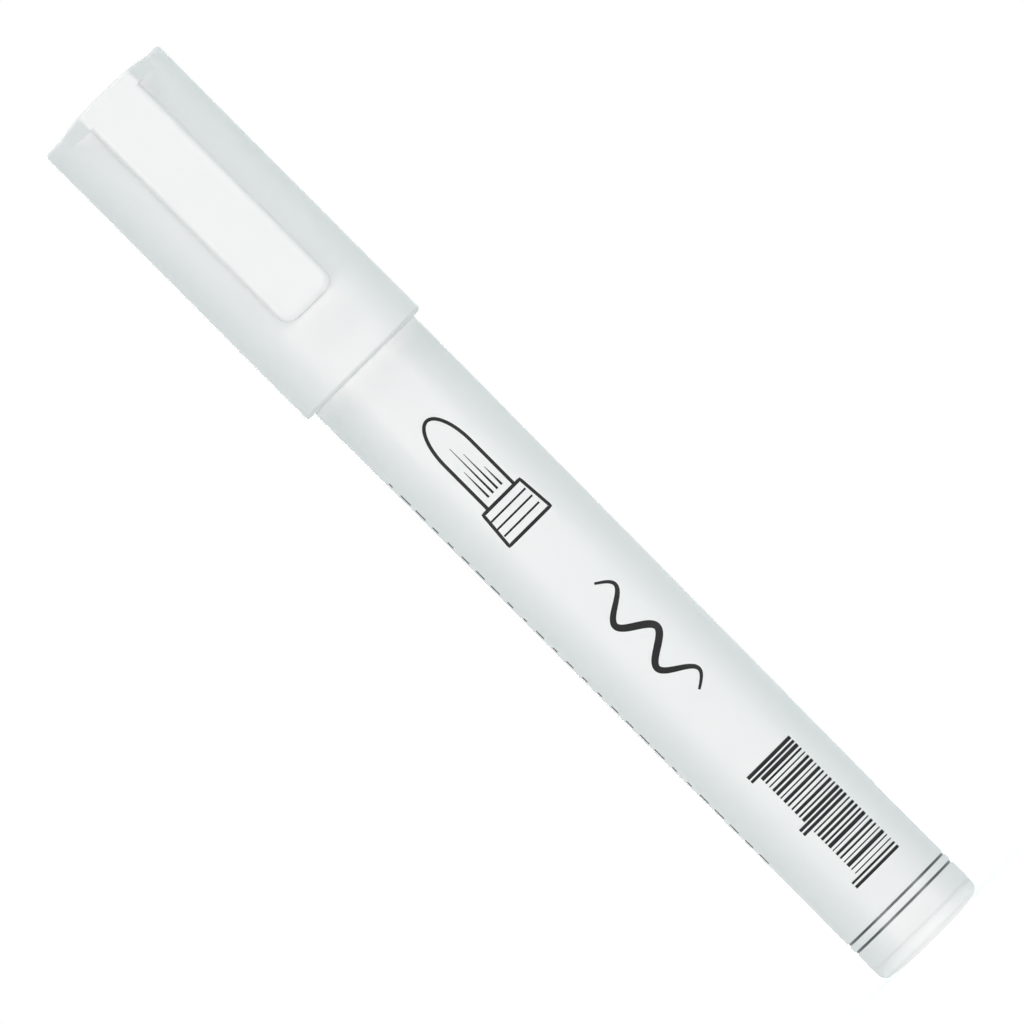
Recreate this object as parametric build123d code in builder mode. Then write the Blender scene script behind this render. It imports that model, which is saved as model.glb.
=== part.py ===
from build123d import *
import os
from math import acos, atan2, cos, pi, radians, sin, sqrt, tan

# Liquid chalk marker with a valve-fed bullet nib, capped and standing on its tail.
# Z runs up the marker's axis from the tail to the closed end of the cap, and the pocket clip faces -Y.
# Sizes are in millimetres. Names that end in _z are heights above the tail.

# Fits between pieces, measured on the radius or along the axis
press_clearance = 0.02
running_clearance = 0.05
cap_fit_clearance = 0.10
stop_clearance = 0.10

# Tail plug
plug_rim_length = 2.2
plug_rim_step = 0.06
plug_crown = 0.5
plug_edge_radius = 1.1
plug_face_diameter = 9.0
plug_floor = 2.4
plug_wall = 1.4
plug_spigot_length = 9.7
plug_bead_radius = 0.4
plug_bead_height = 0.10
plug_bead_count = 2
plug_bead_pitch = 2.6

# Sleeve round the plug, as wide as the barrel
sleeve_length = 2.6

# Ring between the sleeve and the barrel, with an open seam on each side of its rim
ring_width = 1.5
seam_width = 0.30
seam_depth = 0.15
ring_edge_radius = 0.08

# Barrel: a straight bore in a wall that thickens towards the cap by its draft
barrel_exposed_length = 85.6
barrel_neck_length = 10.1
barrel_bore_diameter = 13.0
barrel_wall = 1.1
barrel_draft = 0.35
barrel_neck_chamfer = 0.5
neck_bead_radius = 0.5
neck_bead_height = 0.06
neck_bead_inset = 3.2

# Nose that carries the nib and the valve
nose_flange_setback = 0.75
nose_flange_length = 2.0
nose_collar_setback = 1.2
nose_collar_length = 5.0
nose_cone_length = 9.0
nose_lip_wall = 1.55
nose_lip_radius = 0.5
nose_step_wall = 0.8
nose_skirt_overhang = 0.8
flute_radius = 0.5
flute_count = 4
flute_land = 1.2

# Bullet nib
nib_diameter = 5.0
nib_reach = 7.0
nib_tip_radius = 1.5
nib_taper_angle = 20.0
nib_tail_chamfer = 0.4
nib_tail_length = 0.6
nib_travel = 2.0
nib_overtravel = 0.4

# Valve behind the nib, from the plunger's stem outwards
plunger_stem_diameter = 2.5
plunger_slot_width = 0.5
plunger_slot_depth = 0.55
plunger_slot_land = 0.5
plunger_flange_thickness = 1.0
plunger_guide_diameter = 2.2
plunger_guide_length = 3.4
orifice_gap = 0.45
gasket_hole_margin = 0.2
gasket_contact_width = 1.1
gasket_rim_margin = 0.5
gasket_thickness = 0.8
cavity_gap = 0.2
housing_wall = 1.05
seat_thickness = 1.2
nib_recess_gap = 0.9
spring_length = 6.0
spring_guide_gap = 0.55
spring_wire_diameter = 0.5
spring_turns = 5
cage_floor = 1.2
cage_spigot_length = 1.2
cage_spigot_wall = 0.8
cage_guide_clearance = 0.2
cage_window_diameter = 1.0
cage_window_count = 4

# Steel ball that stirs the pigment
ball_diameter = 8.0

# Cap and its sealing liner
cap_wall = 1.0
cap_end_wall = 2.3
cap_crown = 0.75
cap_edge_radius = 0.45
cap_mouth_radius = 0.4
cap_mouth_lead_in = 0.3
cap_gate_diameter = 2.4
cap_gate_depth = 0.25
cap_rib_width = 1.0
cap_rib_height = 1.8
liner_wall = 1.1
liner_end_wall = 1.2
liner_nib_room = 1.5
liner_band_length = 6.0
liner_seat_gap = 0.3
liner_lead_in = 0.4
nib_headroom = 4.6

# Pocket clip
clip_width = 7.7
clip_length = 34.0
clip_thickness = 1.0
clip_gap = 0.5
clip_corner_radius = 1.7
clip_edge_radius = 0.8
clip_root_setback = 0.25
clip_root_radius = 0.35
clip_gusset_sink = 0.15
clip_pad_width = 5.0
clip_pad_length = 1.6
clip_pad_inset = 1.8
clip_pad_gap = 0.15

# Radii that follow from the fits
bore_radius = barrel_bore_diameter / 2
barrel_rear_radius = bore_radius + barrel_wall
barrel_front_radius = barrel_rear_radius + barrel_draft
cap_bore_radius = barrel_front_radius + cap_fit_clearance
cap_radius = cap_bore_radius + cap_wall
nose_flange_radius = barrel_front_radius - nose_flange_setback
nose_collar_radius = nose_flange_radius - nose_collar_setback
cap_seat_radius = nose_flange_radius + cap_fit_clearance
nib_radius = nib_diameter / 2
nib_bore_radius = nib_radius + running_clearance
nib_recess_radius = nib_radius + nib_recess_gap
nose_lip_outer_radius = nib_bore_radius + nose_lip_wall
stem_radius = plunger_stem_diameter / 2
orifice_radius = stem_radius + orifice_gap
gasket_hole_radius = orifice_radius + gasket_hole_margin
plunger_flange_radius = gasket_hole_radius + gasket_contact_width
gasket_radius = plunger_flange_radius + gasket_rim_margin
cavity_radius = gasket_radius + cavity_gap
housing_radius = cavity_radius + housing_wall
guide_radius = plunger_guide_diameter / 2
wire_radius = spring_wire_diameter / 2
coil_radius = guide_radius + spring_guide_gap + wire_radius
clip_under_radius = cap_radius + clip_gap
clip_top_radius = clip_under_radius + clip_thickness

# Heights of the outer pieces
rim_top_z = plug_rim_length
sleeve_top_z = rim_top_z + sleeve_length
barrel_bottom_z = sleeve_top_z + ring_width
plug_top_z = barrel_bottom_z + plug_spigot_length
cap_mouth_z = barrel_bottom_z + barrel_exposed_length
barrel_top_z = cap_mouth_z + barrel_neck_length
flange_top_z = barrel_top_z + nose_flange_length
collar_top_z = flange_top_z + nose_collar_length
lip_z = collar_top_z + nose_cone_length
nib_tip_z = lip_z + nib_reach
liner_floor_z = nib_tip_z + nib_headroom
liner_end_z = liner_floor_z + liner_end_wall
cap_floor_z = liner_end_z + cap_rib_height
cap_end_z = cap_floor_z + cap_end_wall

# Heights in the valve, from the back of the nib downwards
housing_top_z = flange_top_z - nose_step_wall
nib_rear_z = housing_top_z - nib_tail_length
seat_top_z = nib_rear_z - nib_travel - nib_overtravel
seat_bottom_z = seat_top_z - seat_thickness
gasket_bottom_z = seat_bottom_z - gasket_thickness
plunger_flange_bottom_z = gasket_bottom_z - plunger_flange_thickness
cage_top_z = plunger_flange_bottom_z - spring_length
cage_bottom_z = cage_top_z - cage_floor
nose_bottom_z = cage_bottom_z - nose_skirt_overhang


def level(height):
    """Plane square to the marker's axis at a height above the tail."""
    return Plane.XY.offset(height)


# Tail plug: a rim with a crowned face and a hollow spigot with sealing beads
plug_rim_radius = barrel_rear_radius - plug_rim_step
plug_bead_center_radius = bore_radius - press_clearance - plug_bead_radius
plug_spigot_radius = bore_radius - press_clearance - plug_bead_height
plug_hollow_radius = plug_spigot_radius - plug_wall
with BuildPart() as end_plug:
    with BuildSketch(Plane.XZ) as plug_profile:
        with BuildLine():
            Polyline(
                (0, 0),
                (plug_face_diameter / 2, 0),
                (plug_rim_radius, plug_crown),
                (plug_rim_radius, rim_top_z),
                (plug_spigot_radius, rim_top_z),
                (plug_spigot_radius, plug_top_z),
                (plug_hollow_radius, plug_top_z),
                (plug_hollow_radius, plug_floor),
                (0, plug_floor),
                close=True,
            )
        make_face()
        rim_corner = plug_profile.vertices().sort_by_distance((plug_rim_radius, plug_crown))[0]
        fillet(rim_corner, plug_edge_radius)
        for bead in range(plug_bead_count):
            with Locations((plug_bead_center_radius, barrel_bottom_z + (bead + 1) * plug_bead_pitch)):
                Circle(plug_bead_radius)
    revolve(axis=Axis.Z)
end_plug.part.label = "end_plug"

# Sleeve: a plain band on the plug's spigot, between its rim and the ring
band_bore_radius = plug_spigot_radius + press_clearance
with BuildPart() as tail_sleeve:
    with BuildSketch(Plane.XZ) as sleeve_profile:
        with BuildLine():
            Polyline(
                (band_bore_radius, rim_top_z),
                (barrel_rear_radius, rim_top_z),
                (barrel_rear_radius, sleeve_top_z),
                (band_bore_radius, sleeve_top_z),
                close=True,
            )
        make_face()
        seam_corner = sleeve_profile.vertices().sort_by_distance((barrel_rear_radius, sleeve_top_z))[0]
        fillet(seam_corner, ring_edge_radius)
    revolve(axis=Axis.Z)
tail_sleeve.part.label = "tail_sleeve"

# Ring: its hub is clamped between sleeve and barrel, its rim stands back from both
ring_hub_radius = barrel_rear_radius - seam_depth
with BuildPart() as tail_ring:
    with BuildSketch(Plane.XZ) as ring_profile:
        with BuildLine():
            Polyline(
                (band_bore_radius, sleeve_top_z),
                (ring_hub_radius, sleeve_top_z),
                (ring_hub_radius, sleeve_top_z + seam_width),
                (barrel_rear_radius, sleeve_top_z + seam_width),
                (barrel_rear_radius, barrel_bottom_z - seam_width),
                (ring_hub_radius, barrel_bottom_z - seam_width),
                (ring_hub_radius, barrel_bottom_z),
                (band_bore_radius, barrel_bottom_z),
                close=True,
            )
        make_face()
        fillet(ring_profile.vertices().group_by(Axis.X)[-1], ring_edge_radius)
    revolve(axis=Axis.Z)
tail_ring.part.label = "tail_ring"

# Barrel: a drafted tube with a straight bore, and a straight neck with a snap bead inside the cap
with BuildPart() as barrel:
    with BuildSketch(Plane.XZ) as barrel_profile:
        with BuildLine():
            Polyline(
                (bore_radius, barrel_bottom_z),
                (barrel_rear_radius, barrel_bottom_z),
                (barrel_front_radius, cap_mouth_z),
                (barrel_front_radius, barrel_top_z),
                (bore_radius, barrel_top_z),
                close=True,
            )
        make_face()
        neck_corner = barrel_profile.vertices().sort_by_distance((barrel_front_radius, barrel_top_z))[0]
        chamfer(neck_corner, barrel_neck_chamfer)
        tail_corner = barrel_profile.vertices().sort_by_distance((barrel_rear_radius, barrel_bottom_z))[0]
        fillet(tail_corner, ring_edge_radius)
        neck_bead_center_radius = barrel_front_radius + neck_bead_height - neck_bead_radius
        with Locations((neck_bead_center_radius, barrel_top_z - neck_bead_inset)):
            Circle(neck_bead_radius)
    revolve(axis=Axis.Z)
barrel.part.label = "barrel"

# Nose: spigot in the barrel, flange on its front face, collar for the liner and a cone to the lip
nose_spigot_radius = bore_radius - press_clearance
nose_chamber_radius = housing_radius + press_clearance
with BuildPart() as front_section:
    with BuildSketch(Plane.XZ) as nose_profile:
        with BuildLine():
            Polyline(
                (nose_chamber_radius, nose_bottom_z),
                (nose_spigot_radius, nose_bottom_z),
                (nose_spigot_radius, barrel_top_z),
                (nose_flange_radius, barrel_top_z),
                (nose_flange_radius, flange_top_z),
                (nose_collar_radius, flange_top_z),
                (nose_collar_radius, collar_top_z),
                (nose_lip_outer_radius, lip_z),
                (nib_bore_radius, lip_z),
                (nib_bore_radius, housing_top_z),
                (nose_chamber_radius, housing_top_z),
                close=True,
            )
        make_face()
        lip_corner = nose_profile.vertices().sort_by_distance((nose_lip_outer_radius, lip_z))[0]
        flange_corner = nose_profile.vertices().sort_by_distance((nose_flange_radius, flange_top_z))[0]
        fillet([lip_corner, flange_corner], nose_lip_radius)
    revolve(axis=Axis.Z)
    with BuildSketch(level(housing_top_z)):
        with PolarLocations(nib_bore_radius, flute_count):
            Circle(flute_radius)
    extrude(amount=lip_z - flute_land - housing_top_z, mode=Mode.SUBTRACT)
front_section.part.label = "front_section"

# Nib: a fibre rod with a cone that runs tangent into its round tip
tip_center_z = nib_tip_z - nib_tip_radius
taper = radians(nib_taper_angle)
taper_end = (nib_tip_radius * cos(taper), tip_center_z + nib_tip_radius * sin(taper))
taper_start = (nib_radius, taper_end[1] - (nib_radius - taper_end[0]) / tan(taper))
tip_middle_angle = (taper + pi / 2) / 2
tip_middle = (
    nib_tip_radius * cos(tip_middle_angle),
    tip_center_z + nib_tip_radius * sin(tip_middle_angle),
)
with BuildPart() as nib:
    with BuildSketch(Plane.XZ):
        with BuildLine():
            Polyline(
                (0, nib_tip_z),
                (0, nib_rear_z),
                (nib_radius - nib_tail_chamfer, nib_rear_z),
                (nib_radius, nib_rear_z + nib_tail_chamfer),
                taper_start,
                taper_end,
            )
            ThreePointArc(taper_end, tip_middle, (0, nib_tip_z))
        make_face()
    revolve(axis=Axis.Z)
nib.part.label = "nib"

# Valve housing: a cup against the step of the nose, with the seat wall across it
with BuildPart() as valve_housing:
    with BuildSketch(Plane.XZ):
        with BuildLine():
            Polyline(
                (cavity_radius, cage_top_z),
                (housing_radius, cage_top_z),
                (housing_radius, housing_top_z),
                (nib_recess_radius, housing_top_z),
                (nib_recess_radius, seat_top_z),
                (orifice_radius, seat_top_z),
                (orifice_radius, seat_bottom_z),
                (cavity_radius, seat_bottom_z),
                close=True,
            )
        make_face()
    revolve(axis=Axis.Z)
valve_housing.part.label = "valve_housing"

# Gasket: a flat washer on the rear face of the seat
with BuildPart() as valve_gasket:
    with BuildSketch(level(gasket_bottom_z)):
        Circle(gasket_radius)
        Circle(gasket_hole_radius, mode=Mode.SUBTRACT)
    extrude(amount=gasket_thickness)
valve_gasket.part.label = "valve_gasket"

# Plunger: slotted stem to the nib, flange on the gasket, guide pin inside the spring
guide_bottom_z = plunger_flange_bottom_z - plunger_guide_length
with BuildPart() as valve_plunger:
    with BuildSketch(Plane.XZ):
        with BuildLine():
            Polyline(
                (0, guide_bottom_z),
                (guide_radius, guide_bottom_z),
                (guide_radius, plunger_flange_bottom_z),
                (plunger_flange_radius, plunger_flange_bottom_z),
                (plunger_flange_radius, gasket_bottom_z),
                (stem_radius, gasket_bottom_z),
                (stem_radius, nib_rear_z),
                (0, nib_rear_z),
                close=True,
            )
        make_face()
    revolve(axis=Axis.Z)
    with BuildSketch(level(gasket_bottom_z)):
        with PolarLocations(stem_radius, flute_count):
            Rectangle(2 * plunger_slot_depth, plunger_slot_width)
    extrude(amount=nib_rear_z - plunger_slot_land - gasket_bottom_z, mode=Mode.SUBTRACT)
valve_plunger.part.label = "valve_plunger"

# Spring: a round wire wound between the cage and the plunger's flange
coil_start_z = cage_top_z + wire_radius + running_clearance
coil_rise = spring_length - 2 * (wire_radius + running_clearance)
coil_stretch = pi / 2
coil_stretch_count = round(4 * spring_turns)
coil_angle = coil_stretch * coil_stretch_count


def coil_point(angle):
    """Point on the middle of the wire after winding through an angle."""
    return Vector(
        coil_radius * cos(angle),
        coil_radius * sin(angle),
        coil_start_z + coil_rise * angle / coil_angle,
    )


def coil_direction(angle):
    """Direction of the wire after winding through an angle."""
    return Vector(-coil_radius * sin(angle), coil_radius * cos(angle), coil_rise / coil_angle).normalized()


def coil_joint(start_angle, end_angle):
    """Point where the two tangent arcs of one stretch of the coil meet."""
    start, end = coil_point(start_angle), coil_point(end_angle)
    leaving, arriving = coil_direction(start_angle), coil_direction(end_angle)
    chord = end - start
    along = chord.dot(leaving + arriving)
    bend = 2 * (1 - leaving.dot(arriving))
    reach = (sqrt(along**2 + bend * chord.dot(chord)) - along) / bend
    return (start + leaving * reach + end - arriving * reach) * 0.5


def coil_gap(samples_per_stretch=9):
    """Least clear gap between points of neighbouring turns."""
    step = coil_stretch / samples_per_stretch
    half_turn = 2 * samples_per_stretch
    points = [coil_point(step * index) for index in range(coil_stretch_count * samples_per_stretch + 1)]
    distances = [
        (points[later] - points[earlier]).length
        for earlier in range(len(points))
        for later in range(earlier + half_turn, len(points))
    ]
    return min(distances) - spring_wire_diameter


with BuildPart() as valve_spring:
    with BuildLine():
        for index in range(coil_stretch_count):
            start_angle = index * coil_stretch
            end_angle = start_angle + coil_stretch
            joint = coil_joint(start_angle, end_angle)
            first_arc = TangentArc(coil_point(start_angle), joint, tangent=coil_direction(start_angle))
            TangentArc(joint, coil_point(end_angle), tangent=first_arc % 1)
    with BuildSketch(Plane(origin=coil_point(0), z_dir=coil_direction(0))):
        Circle(wire_radius)
    sweep()
valve_spring.part.label = "valve_spring"
print(f"valve_spring least gap between turns: {coil_gap():.2f} mm")

# Cage: a floor behind the spring, a spigot in the housing and windows that let ink in
cage_spigot_radius = cavity_radius - press_clearance
cage_window_circle_radius = coil_radius + wire_radius + cage_window_diameter / 2
with BuildPart() as valve_cage:
    with BuildSketch(level(cage_bottom_z)):
        Circle(housing_radius)
    extrude(amount=cage_floor)
    with BuildSketch(level(cage_top_z)):
        Circle(cage_spigot_radius)
        Circle(cage_spigot_radius - cage_spigot_wall, mode=Mode.SUBTRACT)
    extrude(amount=cage_spigot_length)
    with BuildSketch(level(cage_bottom_z)):
        Circle(guide_radius + cage_guide_clearance)
        with PolarLocations(cage_window_circle_radius, cage_window_count):
            Circle(cage_window_diameter / 2)
    extrude(amount=cage_floor, mode=Mode.SUBTRACT)
valve_cage.part.label = "valve_cage"

# Ball: lies loose on the floor of the hollow plug
ball_radius = ball_diameter / 2
with BuildPart() as mixing_ball:
    with Locations((0, 0, plug_floor + running_clearance + ball_radius)):
        Sphere(ball_radius)
mixing_ball.part.label = "mixing_ball"

# Cap shell: a stepped tube with a crowned end, cross ribs behind the liner and the root of the clip,
# whose gussets run down from the clip's corners into the sides of the cap
cap_rim_z = cap_end_z - cap_crown
cap_step_z = barrel_top_z + stop_clearance
crown_radius = (cap_radius**2 + cap_crown**2) / (2 * cap_crown)
crown_middle = (
    cap_radius / 2,
    cap_end_z - crown_radius + sqrt(crown_radius**2 - (cap_radius / 2) ** 2),
)
clip_half_width = clip_width / 2
gusset_radius = cap_radius - clip_gusset_sink
gusset_reach = acos(gusset_radius / sqrt(clip_half_width**2 + clip_top_radius**2))
gusset_angle = atan2(clip_half_width, clip_top_radius) + gusset_reach
gusset_x = gusset_radius * sin(gusset_angle)
gusset_y = -gusset_radius * cos(gusset_angle)
with BuildPart() as cap_shell:
    with BuildSketch(level(cap_floor_z)) as root_section:
        with BuildLine():
            Polyline(
                (0, 0),
                (-gusset_x, gusset_y),
                (-clip_half_width, -clip_top_radius),
                (clip_half_width, -clip_top_radius),
                (gusset_x, gusset_y),
                close=True,
            )
        make_face()
        fillet(root_section.vertices().group_by(Axis.Y)[0], clip_edge_radius)
    extrude(amount=cap_end_wall)
    with BuildSketch(Plane.XZ):
        with BuildLine():
            Polyline(
                (-cap_radius, cap_rim_z - clip_root_setback),
                (-cap_radius, cap_end_z),
                (cap_radius, cap_end_z),
                (cap_radius, cap_rim_z - clip_root_setback),
            )
            ThreePointArc(
                (cap_radius, cap_rim_z - clip_root_setback),
                (0, cap_end_z - clip_root_setback),
                (-cap_radius, cap_rim_z - clip_root_setback),
            )
        make_face()
    extrude(amount=clip_top_radius, both=True, mode=Mode.SUBTRACT)
    root_end_edges = cap_shell.faces().sort_by(Axis.Z)[-1].edges()
    fillet(root_end_edges.sort_by(Axis.Y)[:-2], clip_root_radius)
    with BuildSketch(Plane.XZ) as cap_profile:
        with BuildLine():
            Polyline(
                (0, cap_end_z),
                (0, cap_floor_z),
                (cap_seat_radius, cap_floor_z),
                (cap_seat_radius, cap_step_z),
                (cap_bore_radius, cap_step_z),
                (cap_bore_radius, cap_mouth_z),
                (cap_radius, cap_mouth_z),
                (cap_radius, cap_rim_z),
            )
            ThreePointArc((cap_radius, cap_rim_z), crown_middle, (0, cap_end_z))
        make_face()
        crown_corner = cap_profile.vertices().sort_by_distance((cap_radius, cap_rim_z))[0]
        fillet(crown_corner, cap_edge_radius)
        mouth_corner = cap_profile.vertices().sort_by_distance((cap_radius, cap_mouth_z))[0]
        fillet(mouth_corner, cap_mouth_radius)
        bore_corner = cap_profile.vertices().sort_by_distance((cap_bore_radius, cap_mouth_z))[0]
        chamfer(bore_corner, cap_mouth_lead_in)
    revolve(axis=Axis.Z)
    with BuildSketch(level(cap_end_z)):
        Circle(cap_gate_diameter / 2)
    extrude(amount=-cap_gate_depth, mode=Mode.SUBTRACT)
    with BuildSketch(level(cap_floor_z)):
        with PolarLocations(0, 2, angular_range=180):
            Rectangle(2 * cap_seat_radius + cap_wall, cap_rib_width)
    extrude(amount=-cap_rib_height)
cap_shell.part.label = "cap_shell"

# Cap liner: a cup whose mouth band sits in the cap and seals on the collar of the nose
liner_mouth_z = flange_top_z + liner_seat_gap
liner_band_top_z = liner_mouth_z + liner_band_length
liner_bore_radius = nose_collar_radius + running_clearance
liner_band_radius = cap_seat_radius - press_clearance
liner_end_radius = nib_radius + liner_nib_room
with BuildPart() as cap_liner:
    with BuildSketch(Plane.XZ):
        with BuildLine():
            Polyline(
                (0, liner_floor_z),
                (liner_end_radius, liner_floor_z),
                (liner_bore_radius, liner_band_top_z),
                (liner_bore_radius, liner_mouth_z + liner_lead_in),
                (liner_bore_radius + liner_lead_in, liner_mouth_z),
                (liner_band_radius, liner_mouth_z),
                (liner_band_radius, liner_band_top_z),
                (liner_end_radius + liner_wall, liner_end_z),
                (0, liner_end_z),
                close=True,
            )
        make_face()
    revolve(axis=Axis.Z)
cap_liner.part.label = "cap_liner"

# Pocket clip: a tongue hollowed to the cap's curve, with a grip pad under its free end
tongue_length = clip_length - cap_end_wall
clip_free_z = cap_floor_z - tongue_length
with BuildPart() as pocket_clip:
    with BuildSketch(level(cap_floor_z)):
        with Locations((0, -clip_top_radius / 2)):
            Rectangle(clip_width, clip_top_radius)
        Circle(clip_under_radius, mode=Mode.SUBTRACT)
    extrude(amount=-tongue_length)
    fillet(pocket_clip.edges().filter_by(Axis.Y).group_by(Axis.Z)[0], clip_corner_radius)
    outer_face = pocket_clip.faces().filter_by(GeomType.PLANE).sort_by(Axis.Y)[0]
    fillet(outer_face.edges().sort_by(Axis.Z)[:-1], clip_edge_radius)
    with BuildSketch(level(clip_free_z + clip_pad_inset)):
        with Locations((0, -clip_top_radius / 2)):
            Rectangle(clip_pad_width, clip_top_radius)
        Circle(clip_under_radius + clip_thickness / 2, mode=Mode.INTERSECT)
        Circle(cap_radius + clip_pad_gap, mode=Mode.SUBTRACT)
    extrude(amount=clip_pad_length)
pocket_clip.part.label = "pocket_clip"

# One file for each piece
os.makedirs("parts", exist_ok=True)
export_step(end_plug.part, "parts/end_plug.step")
export_step(tail_sleeve.part, "parts/tail_sleeve.step")
export_step(tail_ring.part, "parts/tail_ring.step")
export_step(barrel.part, "parts/barrel.step")
export_step(front_section.part, "parts/front_section.step")
export_step(nib.part, "parts/nib.step")
export_step(valve_housing.part, "parts/valve_housing.step")
export_step(valve_gasket.part, "parts/valve_gasket.step")
export_step(valve_plunger.part, "parts/valve_plunger.step")
export_step(valve_spring.part, "parts/valve_spring.step")
export_step(valve_cage.part, "parts/valve_cage.step")
export_step(mixing_ball.part, "parts/mixing_ball.step")
export_step(cap_shell.part, "parts/cap_shell.step")
export_step(cap_liner.part, "parts/cap_liner.step")
export_step(pocket_clip.part, "parts/pocket_clip.step")
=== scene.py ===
from math import cos, pi, radians, sin

import bmesh
import bpy
from mathutils import Matrix, Vector


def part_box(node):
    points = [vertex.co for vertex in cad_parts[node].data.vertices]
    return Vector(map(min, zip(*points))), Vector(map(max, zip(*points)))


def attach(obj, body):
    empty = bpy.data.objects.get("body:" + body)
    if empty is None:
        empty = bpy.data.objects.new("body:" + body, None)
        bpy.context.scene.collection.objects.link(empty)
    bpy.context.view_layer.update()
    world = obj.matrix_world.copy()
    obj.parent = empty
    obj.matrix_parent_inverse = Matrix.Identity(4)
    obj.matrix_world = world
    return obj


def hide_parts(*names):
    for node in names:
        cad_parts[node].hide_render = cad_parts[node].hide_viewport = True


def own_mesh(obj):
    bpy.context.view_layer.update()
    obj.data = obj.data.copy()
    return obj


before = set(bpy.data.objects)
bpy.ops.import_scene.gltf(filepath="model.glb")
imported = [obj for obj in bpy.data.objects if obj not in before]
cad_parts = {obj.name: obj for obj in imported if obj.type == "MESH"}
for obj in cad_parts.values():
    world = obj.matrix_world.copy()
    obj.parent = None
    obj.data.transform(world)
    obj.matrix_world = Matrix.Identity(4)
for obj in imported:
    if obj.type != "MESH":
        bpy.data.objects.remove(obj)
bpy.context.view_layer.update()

# A capped liquid chalk marker that stands on its tail: white plastic outside, a spring valve inside.
# Z runs up the marker's axis, and the pocket clip faces -Y.
# Sizes are in metres, and those of the print in millimetres.

MM = 0.001

# Heights above the tail
RIM_TOP_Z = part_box("tail_sleeve")[0].z
SLEEVE_TOP_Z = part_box("tail_ring")[0].z
BARREL_BOTTOM_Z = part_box("barrel")[0].z
PLUG_TOP_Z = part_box("end_plug")[1].z
CAP_MOUTH_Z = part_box("cap_shell")[0].z
CAP_END_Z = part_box("cap_shell")[1].z
BARREL_TOP_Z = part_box("barrel")[1].z
CAGE_TOP_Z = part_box("valve_housing")[0].z

# Radii of the turned pieces
BORE_R = 6.5 * MM
BARREL_REAR_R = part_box("tail_ring")[1].x
BARREL_FRONT_R = 7.95 * MM
PLUG_FACE_R = 4.5 * MM
PLUG_RIM_R = 7.54 * MM
PLUG_SPIGOT_R = 6.38 * MM
PLUG_HOLLOW_R = 4.98 * MM
RING_HUB_R = 7.45 * MM
BAND_BORE_R = 6.40 * MM

# Smaller sizes of the turned pieces
PLUG_CROWN = 0.5 * MM
PLUG_FLOOR = 2.4 * MM
PLUG_FACE_EDGE_R = 6.0 * MM
PLUG_EDGE_R = 1.1 * MM
PLUG_INNER_R = 0.3 * MM
PLUG_BEAD_R = 0.4 * MM
PLUG_BEAD_HEIGHT = 0.10 * MM
PLUG_BEAD_PITCH = 2.6 * MM
PLUG_BEAD_COUNT = 2
SEAM_WIDTH = 0.3 * MM
SEAM_EDGE_R = 0.08 * MM
# Height of the band of painted shade just above the cap's mouth
LIP_SHADE_HEIGHT = 0.5 * MM
CAP_CROWN = 0.75 * MM
NECK_CHAMFER = 0.5 * MM
NECK_BEAD_R = 0.5 * MM
NECK_BEAD_HEIGHT = 0.06 * MM
NECK_BEAD_INSET = 3.2 * MM

# Valve spring
SPRING_LENGTH = 6.0 * MM
SPRING_COIL_R = 1.9 * MM
SPRING_WIRE_R = 0.25 * MM
SPRING_END_GAP = 0.05 * MM
SPRING_TURNS = 5.0

# Steps of the round and printed shapes
TURN_SEGMENTS = 192
CORNER_STEPS = 6
BEAD_STEPS = 8
COIL_STEPS = 64
WIRE_STEPS = 20
STROKE_STEPS = 4
BAR_STEPS = 29
LINE_STEPS = 20
TIP_STEPS = 48
WAVE_STEPS = 160
MERGE_DISTANCE = 1e-7

# Print on the barrel, in millimetres along the axis and across it
INK_FILM = 0.012 * MM
MARK_FOOT = 65.6
MARK_COLLAR = 70.2
MARK_SHOULDER = 77.2
MARK_TIP = 82.3
MARK_HALF_FOOT = 3.4
MARK_HALF_COLLAR = 3.0
MARK_HALF_NIB = 2.1
MARK_STROKE = 0.42
MARK_FINE_STROKE = 0.24
MARK_RIBS = (66.8, 67.9, 69.0)
MARK_FIBRES = ((-1.05, 75.4), (-0.35, 78.6), (0.35, 77.0), (1.05, 74.2))
MARK_FIBRE_GAP = 1.0
MARK_FIBRE_SWELL = 1.2
WAVE_START = 38.9
WAVE_END = 55.8
WAVE_SIDE = 0.5
WAVE_HALF_WIDTH = 1.7
WAVE_CRESTS = 2.5
WAVE_END_STROKE = 0.3
WAVE_SWELL = 0.6
BARS_COUNT = 30
BARS_START = 10.4
BARS_PITCH = 0.6
BARS_LENGTH = 6.0
BARS_SIDE = 1.3
BARS_PAIR_STEP = 14
BARS_PAIR_REACH = 1.1
BARS_THINNEST = 0.12
BARS_THICKEST = 0.48
BARS_SEED = 7
DASHES_COUNT = 26
DASHES_START = 20.0
DASHES_PITCH = 2.4
DASHES_STROKE = 0.4
DASHES_SHORTEST = 0.4
DASHES_LONGEST = 1.6
DASHES_ANGLE = radians(-79)
DASHES_SEED = 3

# Moulded plastics
PLASTIC_IOR = 1.49
PLASTIC_CLOUD_SCALE = 90.0
PLASTIC_PATCH_SCALE = 420.0
PLASTIC_PATCH_SPREAD = 0.04
PLASTIC_GRAIN_SCALE = 3200.0
PLASTIC_GRAIN_STRENGTH = 0.3
PLASTIC_GRAIN_HEIGHT = 0.012 * MM
PLASTIC_SHEEN_ROUGHNESS = 0.35
PLASTIC_DEPTH_REACH = 1.2 * MM
# Insets from the ring's hub and rim over which the seams' painted shade fades in
SEAM_SHADE_HUB_INSET = 0.02 * MM
SEAM_SHADE_RIM_INSET = 0.06 * MM

# View of the photograph
VIEW_TURN = radians(-3.6)
VIEW_HEIGHT = 68.16 * MM
VIEW_SIDE = 0.12 * MM
VIEW_ROLL = radians(44.87)
VIEW_WIDTH = 116.46 * MM
VIEW_REACH = 4.0
LENS = 1200.0
SENSOR = 36.0

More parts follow.
